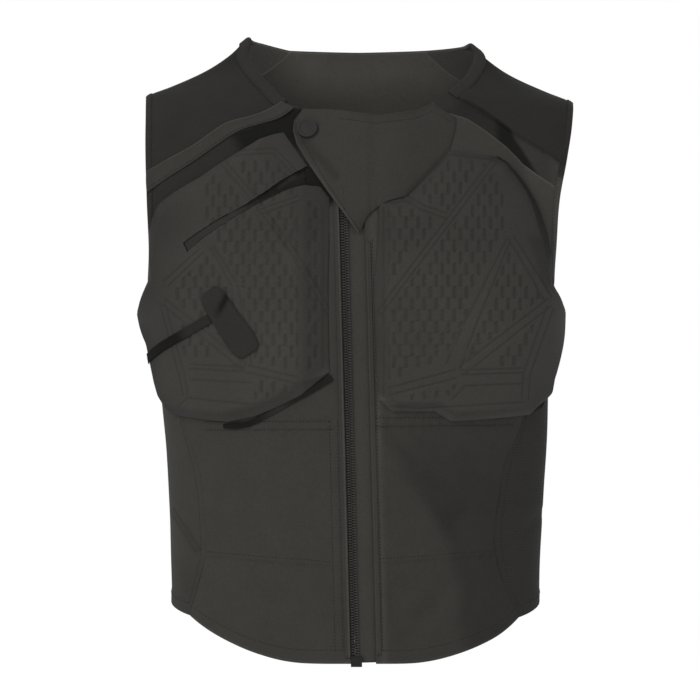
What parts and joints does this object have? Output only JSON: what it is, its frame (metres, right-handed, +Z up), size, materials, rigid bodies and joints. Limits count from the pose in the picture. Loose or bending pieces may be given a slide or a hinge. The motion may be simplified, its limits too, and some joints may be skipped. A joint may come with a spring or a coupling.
{
  "type": "protective vest",
  "caption": "Sleeveless padded protective vest with moulded chest pads, a full front zip under a snapped collar flap and dark knit shoulder yokes.",
  "frame": {"origin": "middle of the shoulder line at the base of the neck, where the vest sits on its wearer", "axes": "+X to the wearer's left, +Y to the back, +Z up"},
  "size_m": [0.4335, 0.2496, 0.6229],
  "materials": {
    "main_cloth": "matt woven charcoal cloth",
    "yoke_knit": "matt dark stretch knit",
    "pad_foam": "moulded foam faced with matt cloth",
    "webbing": "matt black webbing",
    "zip_plastic": "matt plastic",
    "snap_cap": "matt dark enamel"
  },
  "bodies": {
    "root": {"front_panel_right": "main_cloth", "front_panel_left": "main_cloth", "side_panel_right": "main_cloth", "back_panel": "main_cloth", "shoulder_trim_right": "main_cloth", "collar_flap": "main_cloth", "placket_right": "main_cloth", "placket_left": "main_cloth", "side_panel_left": "yoke_knit", "shoulder_yoke_right": "yoke_knit", "shoulder_yoke_left": "yoke_knit", "neck_binding": "yoke_knit", "armhole_binding_right": "yoke_knit", "armhole_binding_left": "yoke_knit", "chest_pad_right": "pad_foam", "chest_pad_left": "pad_foam", "slit_insert": "webbing", "side_strap": "webbing", "strap_tab": "webbing", "lower_strap": "webbing", "zip_tape_right": "zip_plastic", "zip_tape_left": "zip_plastic", "zip_teeth": "zip_plastic", "zip_stop": "zip_plastic", "snap_cap": "snap_cap"}
  },
  "joints": []
}
